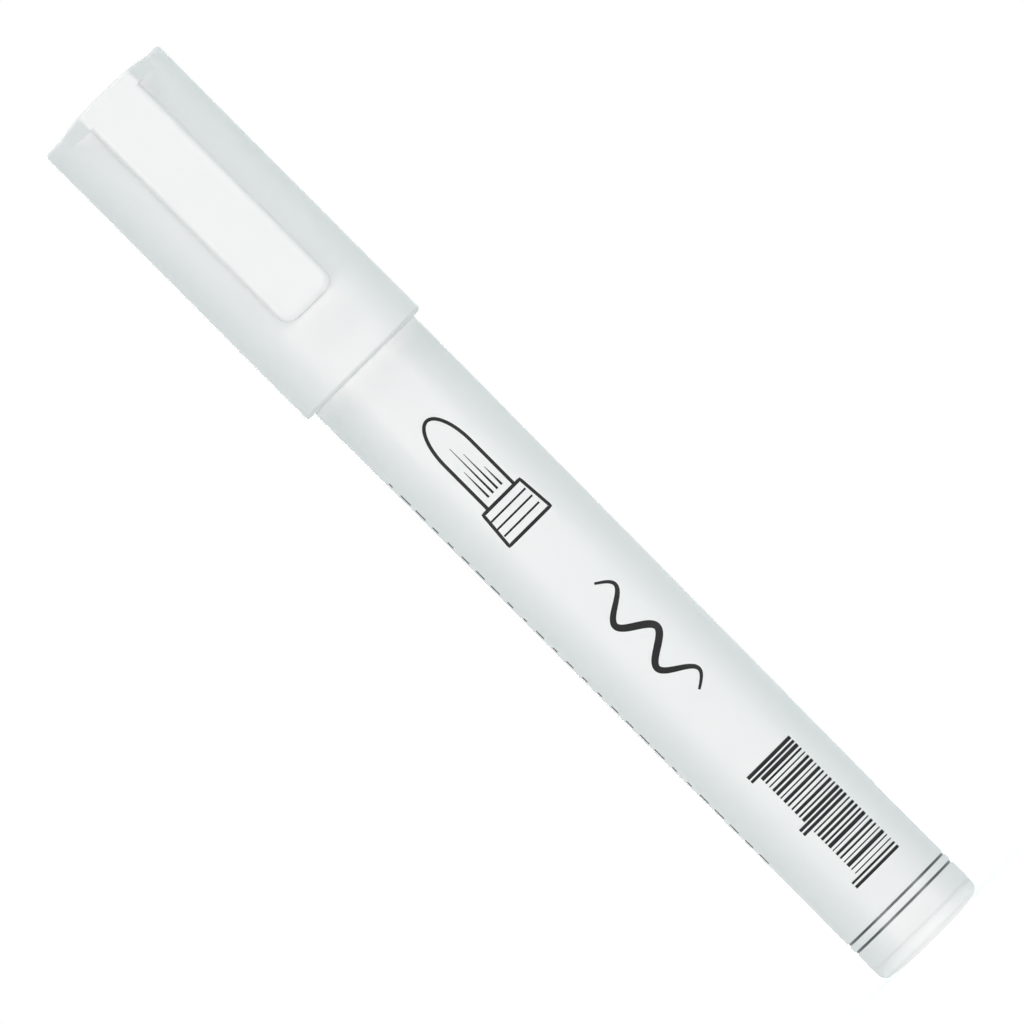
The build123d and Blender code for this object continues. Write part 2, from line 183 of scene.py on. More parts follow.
# Floor: its lift to white for the lens, near the marker and further out, and the light under the foot
FLOOR_SIZE = 6.0
FLOOR_LIFT_NEAR = 0.34
FLOOR_LIFT_FAR = 0.95
FLOOR_NEAR = 0.1
FLOOR_FAR = 0.9
FOOT_GLOW = 0.35
FOOT_GLOW_R = 6.0 * MM
FOOT_GLOW_END_R = 8.0 * MM


def node(tree, kind, inputs=None, **settings):
    """Adds a node, sets its settings, and links or sets its inputs by name or number."""
    made = tree.nodes.new(kind)
    for name, value in settings.items():
        setattr(made, name, value)
    for key, value in (inputs or {}).items():
        socket = made.inputs[key]
        if isinstance(value, bpy.types.NodeSocket):
            tree.links.new(value, socket)
        else:
            socket.default_value = value
    return made


# Geometry trees

def geometry_tree(name, sizes):
    """Empty geometry tree with a shape input, named sizes and a finish, and its input and output nodes."""
    tree = bpy.data.node_groups.new(name, "GeometryNodeTree")
    tree.interface.new_socket("Shape", in_out="INPUT", socket_type="NodeSocketGeometry")
    for size, kind in sizes.items():
        tree.interface.new_socket(size, in_out="INPUT", socket_type=kind)
    tree.interface.new_socket("Finish", in_out="INPUT", socket_type="NodeSocketMaterial")
    tree.interface.new_socket("Shape", in_out="OUTPUT", socket_type="NodeSocketGeometry")
    return tree, tree.nodes.new("NodeGroupInput"), tree.nodes.new("NodeGroupOutput")


def finish_tree(tree, given, result, shape):
    """Ends a geometry tree with real geometry that carries the finish."""
    real = node(tree, "GeometryNodeRealizeInstances", {0: shape})
    coated = node(
        tree,
        "GeometryNodeSetMaterial",
        {"Geometry": real.outputs[0], "Material": given.outputs["Finish"]},
    )
    tree.links.new(coated.outputs[0], result.inputs[0])


def turned_tree():
    """Lathe: rounds the corners of a profile of radius and height, and spins it about the axis."""
    tree, given, result = geometry_tree(
        "turned piece", {"Segments": "NodeSocketInt", "Corner steps": "NodeSocketInt"}
    )
    path_radius = 1.0 * MM
    outline = node(tree, "GeometryNodeMeshToCurve", {"Mesh": given.outputs["Shape"]})
    corner = node(tree, "GeometryNodeInputNamedAttribute", {"Name": "corner_radius"}, data_type="FLOAT")
    rounded = node(
        tree,
        "GeometryNodeFilletCurve",
        {
            "Curve": outline.outputs[0],
            "Count": given.outputs["Corner steps"],
            "Radius": corner.outputs[0],
            "Limit Radius": True,
        },
        mode="POLY",
    )
    placed = node(
        tree,
        "GeometryNodeTransform",
        {"Geometry": rounded.outputs[0], "Translation": (-path_radius, 0, 0), "Scale": (1, -1, 1)},
    )
    path = node(
        tree,
        "GeometryNodeCurvePrimitiveCircle",
        {"Resolution": given.outputs["Segments"], "Radius": path_radius},
    )
    spun = node(
        tree,
        "GeometryNodeCurveToMesh",
        {"Curve": path.outputs[0], "Profile Curve": placed.outputs[0]},
    )
    finish_tree(tree, given, result, spun.outputs[0])
    return tree


def coil_tree():
    """Round wire wound up the axis from a height."""
    tree, given, result = geometry_tree(
        "wound wire",
        {
            "Turns": "NodeSocketFloat",
            "Coil radius": "NodeSocketFloat",
            "Wire radius": "NodeSocketFloat",
            "Rise": "NodeSocketFloat",
            "Start": "NodeSocketVector",
        },
    )
    line = node(
        tree,
        "GeometryNodeCurveSpiral",
        {
            "Resolution": COIL_STEPS,
            "Rotations": given.outputs["Turns"],
            "Start Radius": given.outputs["Coil radius"],
            "End Radius": given.outputs["Coil radius"],
            "Height": given.outputs["Rise"],
        },
    )
    raised = node(
        tree,
        "GeometryNodeTransform",
        {"Geometry": line.outputs[0], "Translation": given.outputs["Start"]},
    )
    wire = node(
        tree,
        "GeometryNodeCurvePrimitiveCircle",
        {"Resolution": WIRE_STEPS, "Radius": given.outputs["Wire radius"]},
    )
    drawn = node(
        tree,
        "GeometryNodeCurveToMesh",
        {"Curve": raised.outputs[0], "Profile Curve": wire.outputs[0], "Fill Caps": True},
    )
    finish_tree(tree, given, result, drawn.outputs[0])
    return tree


def wrapped(tree, flat):
    """Lays a flat shape, across in X and along the marker in Y, on the barrel's drafted surface."""
    spot = node(tree, "GeometryNodeInputPosition")
    parts = node(tree, "ShaderNodeSeparateXYZ", {0: spot.outputs[0]})
    radius = node(
        tree,
        "ShaderNodeMapRange",
        {
            "Value": parts.outputs["Y"],
            "From Min": BARREL_BOTTOM_Z,
            "From Max": CAP_MOUTH_Z,
            "To Min": BARREL_REAR_R,
            "To Max": BARREL_FRONT_R,
        },
    )
    angle = node(tree, "ShaderNodeMath", {0: parts.outputs["X"], 1: radius.outputs[0]}, operation="DIVIDE")
    side = node(tree, "ShaderNodeMath", {0: angle.outputs[0]}, operation="SINE")
    front = node(tree, "ShaderNodeMath", {0: angle.outputs[0]}, operation="COSINE")
    x = node(tree, "ShaderNodeMath", {0: side.outputs[0], 1: radius.outputs[0]}, operation="MULTIPLY")
    depth = node(tree, "ShaderNodeMath", {0: front.outputs[0], 1: radius.outputs[0]}, operation="MULTIPLY")
    y = node(tree, "ShaderNodeMath", {0: depth.outputs[0], 1: -1.0}, operation="MULTIPLY")
    round_spot = node(
        tree,
        "ShaderNodeCombineXYZ",
        {"X": x.outputs[0], "Y": y.outputs[0], "Z": parts.outputs["Y"]},
    )
    laid = node(
        tree,
        "GeometryNodeSetPosition",
        {"Geometry": flat, "Position": round_spot.outputs[0]},
    )
    return laid.outputs[0]


def printed_stroke_tree():
    """Flat stroke of changing width along a line, laid on the barrel."""
    tree, given, result = geometry_tree("printed stroke", {"Steps across": "NodeSocketInt"})
    line = node(tree, "GeometryNodeMeshToCurve", {"Mesh": given.outputs["Shape"]})
    level = node(tree, "GeometryNodeSetCurveNormal", {"Curve": line.outputs[0]}, mode="Z_UP")
    across = node(
        tree,
        "GeometryNodeCurvePrimitiveLine",
        {"Start": (-0.5, 0, 0), "End": (0.5, 0, 0)},
    )
    stepped_across = node(
        tree,
        "GeometryNodeResampleCurve",
        {"Curve": across.outputs[0], "Count": given.outputs["Steps across"]},
    )
    width = node(tree, "GeometryNodeInputNamedAttribute", {"Name": "stroke_width"}, data_type="FLOAT")
    ribbon = node(
        tree,
        "GeometryNodeCurveToMesh",
        {"Curve": level.outputs[0], "Profile Curve": stepped_across.outputs[0], "Scale": width.outputs[0]},
    )
    finish_tree(tree, given, result, wrapped(tree, ribbon.outputs[0]))
    return tree


def printed_row_tree():
    """Row of plain bars of uneven thickness on the barrel, with longer pairs at even steps."""
    tree, given, result = geometry_tree(
        "printed row",
        {
            "Bars": "NodeSocketInt",
            "Start": "NodeSocketVector",
            "Pitch": "NodeSocketVector",
            "Bar length": "NodeSocketFloat",
            "Pair step": "NodeSocketInt",
            "Pair reach": "NodeSocketFloat",
            "Thinnest": "NodeSocketFloat",
            "Thickest": "NodeSocketFloat",
            "Seed": "NodeSocketInt",
        },
    )
    row = node(
        tree,
        "GeometryNodeMeshLine",
        {
            "Count": given.outputs["Bars"],
            "Start Location": given.outputs["Start"],
            "Offset": given.outputs["Pitch"],
        },
    )
    index = node(tree, "GeometryNodeInputIndex")
    turn = node(
        tree,
        "ShaderNodeMath",
        {0: index.outputs[0], 1: given.outputs["Pair step"]},
        operation="MODULO",
    )
    pair_end = 1.5
    paired = node(tree, "ShaderNodeMath", {0: turn.outputs[0], 1: pair_end}, operation="LESS_THAN")
    reach = node(
        tree,
        "ShaderNodeMath",
        {0: paired.outputs[0], 1: given.outputs["Pair reach"]},
        operation="MULTIPLY",
    )
    length = node(
        tree,
        "ShaderNodeMath",
        {0: given.outputs["Bar length"], 1: reach.outputs[0]},
        operation="ADD",
    )
    half_reach = node(tree, "ShaderNodeMath", {0: reach.outputs[0], 1: -0.5}, operation="MULTIPLY")
    shift = node(tree, "ShaderNodeCombineXYZ", {"X": half_reach.outputs[0]})
    shifted = node(
        tree,
        "GeometryNodeSetPosition",
        {"Geometry": row.outputs[0], "Offset": shift.outputs[0]},
    )
    bar = node(
        tree,
        "GeometryNodeMeshGrid",
        {"Size X": 1.0, "Size Y": 1.0, "Vertices X": BAR_STEPS, "Vertices Y": 2},
    )
    thickness = node(
        tree,
        "FunctionNodeRandomValue",
        {2: given.outputs["Thinnest"], 3: given.outputs["Thickest"], "Seed": given.outputs["Seed"]},
        data_type="FLOAT",
    )
    size = node(
        tree,
        "ShaderNodeCombineXYZ",
        {"X": length.outputs[0], "Y": thickness.outputs[1], "Z": 1.0},
    )
    bars = node(
        tree,
        "GeometryNodeInstanceOnPoints",
        {"Points": shifted.outputs[0], "Instance": bar.outputs[0], "Scale": size.outputs[0]},
    )
    real = node(tree, "GeometryNodeRealizeInstances", {0: bars.outputs[0]})
    finish_tree(tree, given, result, wrapped(tree, real.outputs[0]))
    return tree


# Meshes from the trees

def tidy_mesh(mesh, sharp_angle):
    """Merges doubles, turns all faces outwards and shades the mesh smooth up to an angle."""
    shape = bmesh.new()
    shape.from_mesh(mesh)
    bmesh.ops.remove_doubles(shape, verts=shape.verts, dist=MERGE_DISTANCE)
    bmesh.ops.recalc_face_normals(shape, faces=shape.faces)
    shape.to_mesh(mesh)
    shape.free()
    mesh.polygons.foreach_set("use_smooth", [True] * len(mesh.polygons))
    mesh.set_sharp_from_angle(angle=radians(sharp_angle))


def grow(name, mesh, tree, sizes, finish, film=0.0, sharp_angle=30.0):
    """Runs a geometry tree on a mesh and keeps the result as a plain mesh object."""
    piece = bpy.data.objects.new(name, mesh)
    bpy.context.scene.collection.objects.link(piece)
    modifier = piece.modifiers.new(tree.name, "NODES")
    modifier.node_group = tree
    for item in tree.interface.items_tree:
        if item.in_out == "INPUT" and item.name in sizes:
            modifier[item.identifier] = sizes[item.name]
        if item.in_out == "INPUT" and item.name == "Finish":
            modifier[item.identifier] = finish
    if film:
        layer = piece.modifiers.new("film", "SOLIDIFY")
        layer.thickness = film
        layer.offset = 0.0
    evaluated = piece.evaluated_get(bpy.context.evaluated_depsgraph_get())
    made = bpy.data.meshes.new_from_object(evaluated)
    piece.modifiers.clear()
    piece.data = made
    bpy.data.meshes.remove(mesh)
    made.name = name
    tidy_mesh(made, sharp_angle)
    return piece


def line_mesh(attribute, lines):
    """Flat lines, each given as its points, one value for each point, and whether it is closed."""
    spots, edges, values = [], [], []
    for points, marks, closed in lines:
        first = len(spots)
        last = first + len(points) - 1
        edges += [(index, index + 1) for index in range(first, last)]
        if closed:
            edges.append((last, first))
        spots += [(x, y, 0) for x, y in points]
        values += marks
    mesh = bpy.data.meshes.new("line")
    mesh.from_pydata(spots, edges, [])
    mesh.attributes.new(attribute, "FLOAT", "POINT").data.foreach_set("value", values)
    return mesh


TURNED = turned_tree()
WOUND = coil_tree()
STROKE = printed_stroke_tree()
ROW = printed_row_tree()


def turned_piece(name, profile, finish):
    """Piece that is round about the axis, from (radius, height, corner radius) points."""
    points = [(radius, height) for radius, height, corner in profile]
    corners = [corner for radius, height, corner in profile]
    outline = line_mesh("corner_radius", [(points, corners, True)])
    return grow(name, outline, TURNED, {"Segments": TURN_SEGMENTS, "Corner steps": CORNER_STEPS}, finish)


def bead(surface_radius, height, bead_radius, bead_height):
    """Profile points of a round bead that stands out of a cylinder by its height."""
    center = surface_radius + bead_height - bead_radius
    rise = (bead_radius**2 - (bead_radius - bead_height) ** 2) ** 0.5
    points = []
    for index in range(BEAD_STEPS + 1):
        offset = rise * (2 * index / BEAD_STEPS - 1)
        points.append((center + (bead_radius**2 - offset**2) ** 0.5, height + offset, 0.0))
    return points


# Materials

def new_material(name):
    """Material with its tree, its main shader and the object's own coordinates."""
    material = bpy.data.materials.new(name)
    material.use_nodes = True
    tree = material.node_tree
    place = node(tree, "ShaderNodeTexCoord").outputs["Object"]
    return material, tree, tree.nodes["Principled BSDF"], place


def blended(tree, share, first, second):
    """Colour that goes from one to another by a share."""
    return node(tree, "ShaderNodeMix", {0: share, 6: first, 7: second}, data_type="RGBA").outputs[2]


def clouded(tree, place, scale, light, deep):
    """Colour that drifts a little between two tints."""
    cloud = node(tree, "ShaderNodeTexNoise", {"Vector": place, "Scale": scale, "Detail": 3.0})
    return blended(tree, cloud.outputs[0], light, deep)


def uneven_gloss(tree, place, shader, scale, low, high):
    """Roughness that changes over the surface from low to high, where most of the noise lies."""
    patches = node(tree, "ShaderNodeTexNoise", {"Vector": place, "Scale": scale, "Detail": 4.0})
    spread = node(
        tree,
        "ShaderNodeMapRange",
        {"Value": patches.outputs[0], "From Min": 0.3, "From Max": 0.7, "To Min": low, "To Max": high},
    )
    tree.links.new(spread.outputs[0], shader.inputs["Roughness"])


def grained(tree, place, shader, scale, strength, height):
    """Fine grain in the surface."""
    grain = node(tree, "ShaderNodeTexNoise", {"Vector": place, "Scale": scale, "Detail": 2.0})
    bump = node(
        tree,
        "ShaderNodeBump",
        {"Height": grain.outputs[0], "Strength": strength, "Distance": height},
    )
    tree.links.new(bump.outputs[0], shader.inputs["Normal"])


def by_height(tree, place, low, high, below, above):
    """Value that changes from one to another between two heights."""
    parts = node(tree, "ShaderNodeSeparateXYZ", {0: place})
    ramp = node(
        tree,
        "ShaderNodeMapRange",
        {"Value": parts.outputs["Z"], "From Min": low, "From Max": high, "To Min": below, "To Max": above},
    )
    return ramp.outputs[0]


def new_plastic(name, light, deep, roughness, gloss):
    """Plastic with uneven gloss and a fine satin grain, and its clouded colour, which isn't linked yet."""
    material, tree, shader, place = new_material(name)
    shader.inputs["IOR"].default_value = PLASTIC_IOR
    shader.inputs["Specular IOR Level"].default_value = gloss
    smoothest, roughest = roughness - PLASTIC_PATCH_SPREAD, roughness + PLASTIC_PATCH_SPREAD
    uneven_gloss(tree, place, shader, PLASTIC_PATCH_SCALE, smoothest, roughest)
    grained(tree, place, shader, PLASTIC_GRAIN_SCALE, PLASTIC_GRAIN_STRENGTH, PLASTIC_GRAIN_HEIGHT)
    return material, tree, shader, place, clouded(tree, place, PLASTIC_CLOUD_SCALE, light, deep)


def moulded_plastic(name, light, deep, roughness, sheen=0.0, depth=0.0, gloss=0.5, lip_shade=None, matt_end=False):
    """Pale moulded plastic. On the cap a thin band at the mouth is darkened with painted shade, and the
    crowned end is matt.
    """
    material, tree, shader, place, tint = new_plastic(name, light, deep, roughness, gloss)
    shader.inputs["Sheen Weight"].default_value = sheen
    shader.inputs["Sheen Roughness"].default_value = PLASTIC_SHEEN_ROUGHNESS
    shader.inputs["Subsurface Weight"].default_value = depth
    shader.inputs["Subsurface Radius"].default_value = (1.0, 1.0, 1.0)
    shader.inputs["Subsurface Scale"].default_value = PLASTIC_DEPTH_REACH
    # Painted shade: a grey band just above the cap's mouth stands in for the shade at its rounded edge
    if lip_shade:
        plain = by_height(tree, place, CAP_MOUTH_Z + LIP_SHADE_HEIGHT / 2, CAP_MOUTH_Z + LIP_SHADE_HEIGHT, 0.0, 1.0)
        tint = blended(tree, plain, lip_shade, tint)
    if matt_end:
        shine = by_height(tree, place, CAP_END_Z - CAP_CROWN, CAP_END_Z - CAP_CROWN / 2, gloss, 0.0)
        tree.links.new(shine, shader.inputs["Specular IOR Level"])
    tree.links.new(tint, shader.inputs["Base Color"])
    return material


def seam_shaded_plastic(name, light, deep, seam, roughness, gloss):
    """The moulded plastic of the ring, with a dark, shiny hub in the open seams: painted shade that stands
    in for the seams' shadow.
    """
    material, tree, shader, place, white = new_plastic(name, light, deep, roughness, gloss)
    parts = node(tree, "ShaderNodeSeparateXYZ", {0: place})
    flat = node(tree, "ShaderNodeCombineXYZ", {"X": parts.outputs["X"], "Y": parts.outputs["Y"]})
    radius = node(tree, "ShaderNodeVectorMath", {0: flat.outputs[0]}, operation="LENGTH")
    rim = node(
        tree,
        "ShaderNodeMapRange",
        {
            "Value": radius.outputs["Value"],
            "From Min": RING_HUB_R + SEAM_SHADE_HUB_INSET,
            "From Max": BARREL_REAR_R - SEAM_SHADE_RIM_INSET,
        },
    )
    # Painted shade: the hub's colour goes dark and metallic where the seams are open
    tree.links.new(blended(tree, rim.outputs[0], seam, white), shader.inputs["Base Color"])
    hub = node(tree, "ShaderNodeMath", {0: 1.0, 1: rim.outputs[0]}, operation="SUBTRACT")
    tree.links.new(hub.outputs[0], shader.inputs["Metallic"])
    return material


def pressed_fibre(name, light, deep):
    """Pressed fibre of the nib: strands that run along the axis, dull and slightly fuzzy."""
    material, tree, shader, place = new_material(name)
    shader.inputs["Sheen Weight"].default_value = 0.25
    shader.inputs["Sheen Roughness"].default_value = 0.6
    along = node(tree, "ShaderNodeMapping", {"Vector": place, "Scale": (1.0, 1.0, 0.05)})
    strands = node(
        tree,
        "ShaderNodeTexNoise",
        {"Vector": along.outputs[0], "Scale": 5200.0, "Detail": 3.0, "Roughness": 0.65},
    )
    tree.links.new(blended(tree, strands.outputs[0], deep, light), shader.inputs["Base Color"])
    uneven_gloss(tree, place, shader, scale=900.0, low=0.78, high=0.95)
    bump = node(
        tree,
        "ShaderNodeBump",
        {"Height": strands.outputs[0], "Strength": 0.7, "Distance": 0.05 * MM},
    )
    tree.links.new(bump.outputs[0], shader.inputs["Normal"])
    return material


def soft_rubber(name, light, deep):
    """Dull black rubber with a faint bloom."""
    material, tree, shader, place = new_material(name)
    shader.inputs["Specular IOR Level"].default_value = 0.3
    tree.links.new(clouded(tree, place, 1500.0, light, deep), shader.inputs["Base Color"])
    uneven_gloss(tree, place, shader, scale=1800.0, low=0.6, high=0.8)
    grained(tree, place, shader, scale=6000.0, strength=0.4, height=0.01 * MM)
    return material


def bright_steel(name, light, deep, low, high, scratch):
    """Stainless steel with uneven polish and fine scratches."""
    material, tree, shader, place = new_material(name)
    shader.inputs["Metallic"].default_value = 1.0
    tree.links.new(clouded(tree, place, 700.0, light, deep), shader.inputs["Base Color"])
    uneven_gloss(tree, place, shader, scale=1600.0, low=low, high=high)
    grained(tree, place, shader, scale=7000.0, strength=scratch, height=0.004 * MM)
    return material


def printing_ink(name, light, deep):
    """Black printed ink, a thin dull film that is a little uneven."""
    material, tree, shader, place = new_material(name)
    shader.inputs["Specular IOR Level"].default_value = 0.2
    tree.links.new(clouded(tree, place, 2400.0, light, deep), shader.inputs["Base Color"])
    uneven_gloss(tree, place, shader, scale=1900.0, low=0.34, high=0.52)
    grained(tree, place, shader, scale=5200.0, strength=0.25, height=0.006 * MM)
    return material


WHITE = (0.868, 0.872, 0.866, 1.0)
WHITE_DEEP = (0.850, 0.856, 0.852, 1.0)
PALE = (0.935, 0.94, 0.935, 1.0)
PALE_DEEP = (0.915, 0.922, 0.918, 1.0)
# Painted shade for the ring's open seams
SEAM_PAINTED_SHADE = (0.10, 0.112, 0.116, 1.0)
# Painted shade for the band at the cap's mouth
LIP_PAINTED_SHADE = (0.71, 0.725, 0.725, 1.0)
WAX = (0.84, 0.85, 0.83, 1.0)
WAX_DEEP = (0.80, 0.815, 0.80, 1.0)
IVORY = (0.80, 0.80, 0.78, 1.0)
IVORY_DEEP = (0.76, 0.76, 0.74, 1.0)
COOL_GREY = (0.72, 0.74, 0.76, 1.0)
COOL_GREY_DEEP = (0.67, 0.69, 0.71, 1.0)
FIBRE = (0.90, 0.90, 0.88, 1.0)
FIBRE_DEEP = (0.70, 0.71, 0.70, 1.0)
RUBBER = (0.035, 0.035, 0.036, 1.0)
RUBBER_DEEP = (0.02, 0.02, 0.021, 1.0)
WIRE = (0.64, 0.64, 0.65, 1.0)
WIRE_DEEP = (0.55, 0.55, 0.56, 1.0)
POLISH = (0.72, 0.72, 0.73, 1.0)
POLISH_DEEP = (0.66, 0.66, 0.67, 1.0)
INK = (0.014, 0.014, 0.015, 1.0)
INK_DEEP = (0.007, 0.007, 0.008, 1.0)

# The cap's colour carries a band of painted shade at its mouth
cap_plastic = moulded_plastic(
    "cap plastic", WHITE, WHITE_DEEP, roughness=0.46, sheen=0.46, lip_shade=LIP_PAINTED_SHADE, matt_end=True
)
barrel_plastic = moulded_plastic("barrel plastic", WHITE, WHITE_DEEP, roughness=0.35, gloss=0.28)
# The ring's colour carries painted shade in its seams
ring_plastic = seam_shaded_plastic("ring plastic", WHITE, WHITE_DEEP, SEAM_PAINTED_SHADE, roughness=0.35, gloss=0.28)
plug_plastic = moulded_plastic("plug plastic", PALE, PALE_DEEP, roughness=0.42, sheen=0.15, depth=0.4)
nose_plastic = moulded_plastic("nose plastic", WHITE, WHITE_DEEP, roughness=0.34)
liner_plastic = moulded_plastic("liner plastic", WAX, WAX_DEEP, roughness=0.5, depth=0.4)
valve_plastic = moulded_plastic("valve plastic", IVORY, IVORY_DEEP, roughness=0.45)
plunger_plastic = moulded_plastic("plunger plastic", COOL_GREY, COOL_GREY_DEEP, roughness=0.4)
nib_fibre = pressed_fibre("nib fibre", FIBRE, FIBRE_DEEP)
gasket_rubber = soft_rubber("gasket rubber", RUBBER, RUBBER_DEEP)
spring_steel = bright_steel("spring steel", WIRE, WIRE_DEEP, low=0.22, high=0.36, scratch=0.4)
ball_steel = bright_steel("ball steel", POLISH, POLISH_DEEP, low=0.06, high=0.14, scratch=0.1)
print_ink = printing_ink("print ink", INK, INK_DEEP)


# Pieces that stand for turned or wound CAD nodes

def stand_for(piece, body, cad_node):
    """Puts a piece in the place of a CAD node."""
    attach(piece, body)
    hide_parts(cad_node)


def make_barrel():
    """Drafted tube with a straight neck that has a snap bead and a bevelled mouth."""
    piece = turned_piece(
        "barrel_tube",
        [
            (BORE_R, BARREL_BOTTOM_Z, 0.0),
            (BARREL_REAR_R, BARREL_BOTTOM_Z, SEAM_EDGE_R),
            (BARREL_FRONT_R, CAP_MOUTH_Z, 0.0),
            *bead(BARREL_FRONT_R, BARREL_TOP_Z - NECK_BEAD_INSET, NECK_BEAD_R, NECK_BEAD_HEIGHT),
            (BARREL_FRONT_R, BARREL_TOP_Z - NECK_CHAMFER, SEAM_EDGE_R),
            (BARREL_FRONT_R - NECK_CHAMFER, BARREL_TOP_Z, SEAM_EDGE_R),
            (BORE_R, BARREL_TOP_Z, 0.0),
        ],
        barrel_plastic,
    )
    stand_for(piece, "barrel_body", "barrel")


def make_ring():
    """Narrow ring whose rim leaves an open seam on each side."""
    lower = SLEEVE_TOP_Z + SEAM_WIDTH
    upper = BARREL_BOTTOM_Z - SEAM_WIDTH
    piece = turned_piece(
        "seam_ring",
        [
            (BAND_BORE_R, SLEEVE_TOP_Z, 0.0),
            (RING_HUB_R, SLEEVE_TOP_Z, 0.0),
            (RING_HUB_R, lower, 0.0),
            (BARREL_REAR_R, lower, SEAM_EDGE_R),
            (BARREL_REAR_R, upper, SEAM_EDGE_R),
            (RING_HUB_R, upper, 0.0),
            (RING_HUB_R, BARREL_BOTTOM_Z, 0.0),
            (BAND_BORE_R, BARREL_BOTTOM_Z, 0.0),
        ],
        ring_plastic,
    )
    stand_for(piece, "barrel_body", "tail_ring")


def make_sleeve():
    """Plain band below the ring."""
    piece = turned_piece(
        "sleeve_band",
        [
            (BAND_BORE_R, RIM_TOP_Z, 0.0),
            (BARREL_REAR_R, RIM_TOP_Z, 0.0),
            (BARREL_REAR_R, SLEEVE_TOP_Z, SEAM_EDGE_R),
            (BAND_BORE_R, SLEEVE_TOP_Z, 0.0),
        ],
        barrel_plastic,
    )
    stand_for(piece, "barrel_body", "tail_sleeve")


def make_plug():
    """Hollow plug with a crowned face, a round rim and sealing beads on its spigot."""
    beads = []
    for index in range(PLUG_BEAD_COUNT):
        height = BARREL_BOTTOM_Z + (index + 1) * PLUG_BEAD_PITCH
        beads += bead(PLUG_SPIGOT_R, height, PLUG_BEAD_R, PLUG_BEAD_HEIGHT)
    piece = turned_piece(
        "plug_body",
        [
            (0.0, 0.0, 0.0),
            (PLUG_FACE_R, 0.0, PLUG_FACE_EDGE_R),
            (PLUG_RIM_R, PLUG_CROWN, PLUG_EDGE_R),
            (PLUG_RIM_R, RIM_TOP_Z, 0.0),
            (PLUG_SPIGOT_R, RIM_TOP_Z, 0.0),
            *beads,
            (PLUG_SPIGOT_R, PLUG_TOP_Z, PLUG_INNER_R),
            (PLUG_HOLLOW_R, PLUG_TOP_Z, PLUG_INNER_R),
            (PLUG_HOLLOW_R, PLUG_FLOOR, PLUG_INNER_R),
            (0.0, PLUG_FLOOR, 0.0),
        ],
        plug_plastic,
    )
    stand_for(piece, "barrel_body", "end_plug")


def make_spring():
    """Steel spring of the valve that the nib opens, wound as one fixed coil."""
    end_room = SPRING_WIRE_R + SPRING_END_GAP
    sizes = {
        "Turns": SPRING_TURNS,
        "Coil radius": SPRING_COIL_R,
        "Wire radius": SPRING_WIRE_R,
        "Rise": SPRING_LENGTH - 2 * end_room,
        "Start": (0.0, 0.0, CAGE_TOP_Z + end_room),
    }
    piece = grow("spring_wire", bpy.data.meshes.new("start"), WOUND, sizes, spring_steel)
    stand_for(piece, "barrel_body", "valve_spring")
    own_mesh(piece)


# Print on the barrel

def printed_strokes(name, strokes):
    """Printed strokes in millimetres across and along the barrel, each as for a flat line."""
    lines = [
        (
            [(across * MM, along * MM) for across, along in points],
            [width * MM for width in widths],
            closed,
        )
        for points, widths, closed in strokes
    ]
    mesh = line_mesh("stroke_width", lines)
    piece = grow(name, mesh, STROKE, {"Steps across": STROKE_STEPS}, print_ink, film=INK_FILM)
    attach(piece, "barrel_body")


def printed_row(name, sizes):
    """Printed row of plain bars."""
    piece = grow(name, bpy.data.meshes.new("start"), ROW, sizes, print_ink, film=INK_FILM)
    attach(piece, "barrel_body")


def straight(start, end):
    """Points along a straight line without its end, so that it can bend round the barrel."""
    shares = [index / LINE_STEPS for index in range(LINE_STEPS)]
    return [
        (start[0] + (end[0] - start[0]) * share, start[1] + (end[1] - start[1]) * share) for share in shares
    ]


def even(points, width, closed=False):
    """Stroke of one width along points."""
    return points, [width] * len(points), closed


def make_nib_sign():
    """Plain line sign of a round nib with its fibres, in a ribbed collar."""
    tip = [
        (
            -MARK_HALF_NIB * cos(pi * index / TIP_STEPS),
            MARK_SHOULDER + (MARK_TIP - MARK_SHOULDER) * sin(pi * index / TIP_STEPS),
        )
        for index in range(TIP_STEPS + 1)
    ]
    foot_left, foot_right = (-MARK_HALF_FOOT, MARK_FOOT), (MARK_HALF_FOOT, MARK_FOOT)
    collar_left, collar_right = (-MARK_HALF_COLLAR, MARK_COLLAR), (MARK_HALF_COLLAR, MARK_COLLAR)
    collar = [
        *straight(foot_left, foot_right),
        *straight(foot_right, collar_right),
        *straight(collar_right, collar_left),
        *straight(collar_left, foot_left),
    ]
    strokes = [
        even([(-MARK_HALF_NIB, MARK_COLLAR), *tip, (MARK_HALF_NIB, MARK_COLLAR)], MARK_STROKE),
        even(collar, MARK_STROKE, closed=True),
    ]
    for height in MARK_RIBS:
        rib = straight((-MARK_HALF_COLLAR, height), (MARK_HALF_COLLAR, height))
        strokes.append(even(rib, MARK_FINE_STROKE))
    for across, end in MARK_FIBRES:
        line = straight((across, MARK_COLLAR + MARK_FIBRE_GAP), (across, end))
        widths = [MARK_FINE_STROKE * (MARK_FIBRE_SWELL - index / len(line)) for index in range(len(line))]
        strokes.append((line, widths, False))
    printed_strokes("print_nib_sign", strokes)


def make_wave():
    """Plain sample stroke, a wave that swells and thins out."""
    shares = [index / WAVE_STEPS for index in range(WAVE_STEPS + 1)]
    points = [
        (
            WAVE_SIDE + WAVE_HALF_WIDTH * sin(2 * pi * WAVE_CRESTS * share),
            WAVE_START + (WAVE_END - WAVE_START) * share,
        )
        for share in shares
    ]
    widths = [WAVE_END_STROKE + WAVE_SWELL * sin(pi * share) for share in shares]
    printed_strokes("print_wave", [(points, widths, False)])


